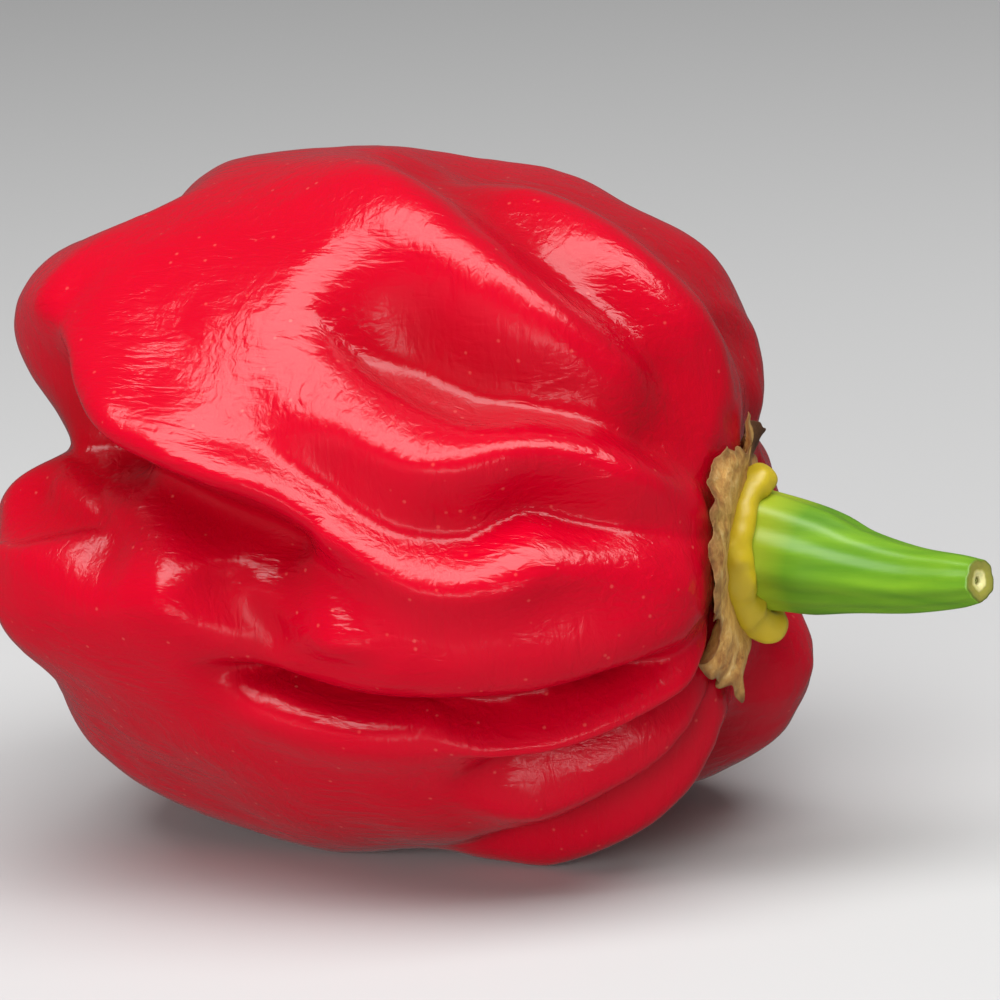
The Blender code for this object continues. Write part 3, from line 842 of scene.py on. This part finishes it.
# %% Stem rind
def stem_material():
    """Satin green: two greens mixed by a noise stretched along the stem, yellow foot, ringed cut."""
    made, tree, shader = new_material("green stem rind")
    place = add(tree, "ShaderNodeTexCoord").outputs["Object"]
    longways = add(tree, "ShaderNodeMapping", [("Vector", place),
                                               ("Scale", cells(8.333, 1.111, 1.111))])
    streak = add(tree, "ShaderNodeTexNoise", [("Vector", longways.outputs[0]), ("Scale", 1),
                                              ("Detail", 5)])
    green = add(tree, "ShaderNodeMix", [("Factor", streak.outputs["Fac"]), (6, linear("#306A03")),
                                        (7, linear("#749E1A"))], data_type="RGBA")
    height = add(tree, "ShaderNodeAttribute", attribute_name="along")
    foot = add(tree, "ShaderNodeMapRange", [("Value", height.outputs["Fac"]), ("From Min", 0.28),
                                            ("From Max", 0.10)])
    body = add(tree, "ShaderNodeMix", [("Factor", foot.outputs[0]), (6, green.outputs[2]),
                                       (7, linear("#98A81C"))], data_type="RGBA")
    cut = add(tree, "ShaderNodeAttribute", attribute_name="on_cut")
    whole = add(tree, "ShaderNodeMix", [("Factor", cut.outputs["Fac"]), (6, body.outputs[2]),
                                        (7, cut_rings(tree))], data_type="RGBA")
    bump = add(tree, "ShaderNodeBump", [("Height", streak.outputs["Fac"]), ("Strength", 0.3),
                                        ("Distance", 0.15 * MM)])
    tree.links.new(whole.outputs[2], shader.inputs["Base Color"])
    tree.links.new(bump.outputs[0], shader.inputs["Normal"])
    shader.inputs["Roughness"].default_value = 0.44
    shader.inputs["Subsurface Weight"].default_value = 0.1
    shader.inputs["Subsurface Radius"].default_value = (0.5, 1.0, 0.2)
    shader.inputs["Subsurface Scale"].default_value = 0.8 * MM
    return made


stem.data.materials.append(stem_material())
print(stem.name, "has", stem.data.materials[0].name)

# %% [markdown]
# ## Who stands for what
# The imported model has one body, because nothing on a fruit moves. Each piece rides on it and hides the
# plain solid that it replaces; the slot of its finish is listed beside it, but nothing here uses it.

# %% Attach
for piece, node, slot in ((pod, "pod", "pod_skin"), (margin, "calyx", "calyx_tissue"),
                          (collar, "calyx", "calyx_tissue"), (stem, "stem", "stem_skin")):
    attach(piece, "root")
    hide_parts(node)
    print(piece.name, "replaces", node)

# %% [markdown]
# ## The floor
# A plain sheet of pale paper, wide enough to fill any view. It is kept out of reflections, because a
# bright floor mirrored in the lower half of a glossy fruit would wash out its red.

# %% Floor
scene = bpy.context.scene
FLOOR_SIZE = 6
FLOOR_GREY = (0.5, 0.5, 0.5, 1)

bpy.ops.mesh.primitive_plane_add(size=FLOOR_SIZE)
floor = bpy.context.object
floor.name = "floor"
paper, _, paper_shader = new_material("pale paper")
paper_shader.inputs["Base Color"].default_value = FLOOR_GREY
paper_shader.inputs["Roughness"].default_value = 0.8
floor.data.materials.append(paper)
floor.visible_glossy = False
print("floor, m:", tuple(round(v, 1) for v in floor.dimensions))

# %% [markdown]
# ## Soft light
# One wide softbox overhead draws the highlights: its shape is what is seen in them. A larger panel in
# front only fills the shadows, so it is hidden from reflections, and a low narrow strip adds the thin
# glints on the lower folds. The world is a faint even white.

# %% Lights
def soft_box(name, spot, size, power):
    """A rectangular light at spot, aimed just above the floor's middle, in metres and watts."""
    lamp = bpy.data.lights.new(name, "AREA")
    lamp.shape = "RECTANGLE"
    lamp.size, lamp.size_y = size
    lamp.energy = power
    made = bpy.data.objects.new(name, lamp)
    scene.collection.objects.link(made)
    made.location = spot
    aim = Vector((0, 0, 0.02)) - Vector(spot)
    made.rotation_euler = aim.to_track_quat("-Z", "Y").to_euler()
    return made


soft_box("overhead softbox", (0.05, -0.09, 0.42), (0.62, 0.26), 3.45)
fill = soft_box("front fill", (-0.05, -0.60, 0.12), (0.7, 0.3), 3.7)
fill.visible_glossy = False
soft_box("low front strip", (0.16, -0.50, 0.05), (0.36, 0.05), 0.28)

world = bpy.data.worlds.new("studio")
scene.world = world
world.use_nodes = True
world.node_tree.nodes["Background"].inputs["Color"].default_value = (1, 1, 1, 1)
world.node_tree.nodes["Background"].inputs["Strength"].default_value = 0.13
scene.view_settings.view_transform = "Standard"
print("lights:", len(bpy.data.lights))

# %% [markdown]
# ## The camera
# A long lens from 400 mm away keeps the fruit's proportions. The camera looks at the near side, from a
# little above and a little round towards the stem. Its place is worked out in the plant's frame and
# turned with it.

# %% Camera
CAMERA_AZIMUTH = math.radians(23)
CAMERA_HEIGHT = math.radians(15)
CAMERA_DISTANCE = 400
LOOKS_AT = Vector((5.3, 0.0, 0.0))
LENS = 231

back = Vector((math.sin(CAMERA_AZIMUTH) * math.cos(CAMERA_HEIGHT),
               -math.cos(CAMERA_AZIMUTH) * math.cos(CAMERA_HEIGHT), math.sin(CAMERA_HEIGHT)))
lens = bpy.data.cameras.new("camera")
lens.lens = LENS
lens.clip_start = 0.01
camera = bpy.data.objects.new("camera", lens)
scene.collection.objects.link(camera)
camera.location = Vector(to_row(LOOKS_AT + back * CAMERA_DISTANCE))
camera.rotation_euler = (TURN @ back.to_track_quat("Z", "Y").to_matrix()).to_euler()
scene.camera = camera
print("camera, m:", np.round(np.array(camera.location), 3))
